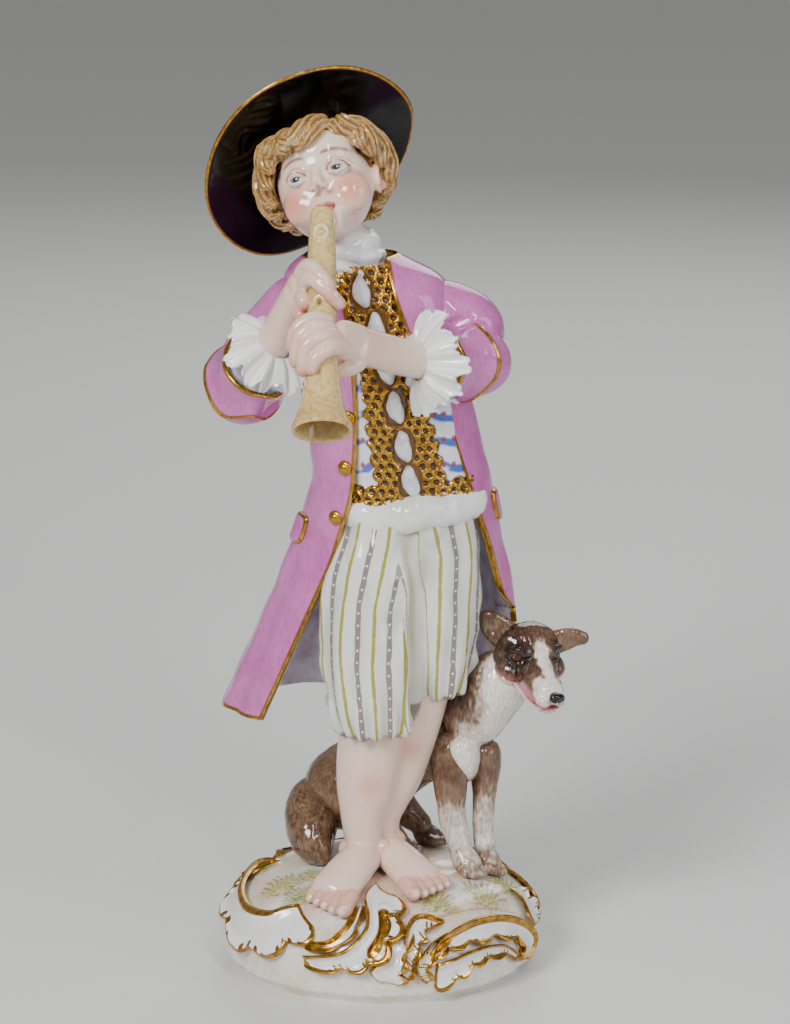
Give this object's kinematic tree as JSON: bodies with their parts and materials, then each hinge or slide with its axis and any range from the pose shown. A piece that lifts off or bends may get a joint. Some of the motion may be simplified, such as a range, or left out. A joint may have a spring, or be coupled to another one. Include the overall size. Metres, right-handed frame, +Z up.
{
  "type": "porcelain figurine",
  "caption": "Glazed porcelain figurine of a barefoot boy in a long coat and wide hat playing a flute beside a seated dog, on a round scrolled mound base.",
  "frame": {"origin": "middle of the resting face under the base", "axes": "+Z up, the boy looks towards -Y, his left side is +X"},
  "size_m": [0.0689, 0.0683, 0.1609],
  "materials": {
    "base_glaze": "glossy white glaze with thin green and brown ground enamel",
    "scroll_glaze": "glossy white glaze, edges and feathering burnished gold",
    "bisque": "unglazed biscuit porcelain",
    "flesh_glaze": "glossy glaze with pale flesh enamel",
    "striped_enamel": "glossy white glaze with olive and grey painted stripes",
    "gilt_lace_enamel": "glossy glaze with gilt lace over brown and blue enamel",
    "white_glaze": "glossy white glaze",
    "rose_enamel": "glossy rose-purple enamel, gilt edges",
    "gilding": "burnished gold",
    "flute_enamel": "glossy buff enamel",
    "hair_enamel": "glossy glaze with ochre brown brush strokes",
    "black_enamel": "high gloss black enamel, gilt edge",
    "dog_enamel": "glossy glaze with brown brush strokes over white"
  },
  "bodies": {
    "root": {"base_shell": "base_glaze", "foot_plate": "bisque", "right_leg": "flesh_glaze", "left_leg": "flesh_glaze", "breeches": "striped_enamel", "waistcoat": "gilt_lace_enamel", "shirt_roll": "white_glaze", "shirt_puffs": "white_glaze", "cravat": "white_glaze", "head": "flesh_glaze", "coat_back": "rose_enamel", "coat_front_right": "rose_enamel", "coat_front_left": "rose_enamel", "coat_buttons": "gilding", "pocket_flap_right": "rose_enamel", "pocket_flap_left": "rose_enamel", "right_hand": "flesh_glaze", "left_hand": "flesh_glaze", "sleeve_right": "rose_enamel", "sleeve_left": "rose_enamel", "cuff_right": "rose_enamel", "cuff_left": "rose_enamel", "ruffle_right": "white_glaze", "ruffle_left": "white_glaze", "flute": "flute_enamel", "hair": "hair_enamel", "hat_crown": "black_enamel", "hat_brim": "black_enamel", "dog_body": "dog_enamel", "dog_neck": "dog_enamel", "dog_head": "dog_enamel", "dog_ear_right": "dog_enamel", "dog_ear_left": "dog_enamel", "dog_foreleg_right": "dog_enamel", "dog_foreleg_left": "dog_enamel", "dog_hind_leg_right": "dog_enamel", "dog_hind_leg_left": "dog_enamel", "dog_tail": "dog_enamel", "scroll_shell_left": "scroll_glaze", "scroll_centre": "scroll_glaze", "scroll_acanthus": "scroll_glaze", "scroll_arch_right": "scroll_glaze", "scroll_ledge_right": "scroll_glaze", "scroll_leaf_right": "scroll_glaze", "scroll_curl_left": "scroll_glaze", "scroll_arch_back": "scroll_glaze", "scroll_shell_back": "scroll_glaze", "scroll_curl_back": "scroll_glaze"}
  },
  "joints": []
}
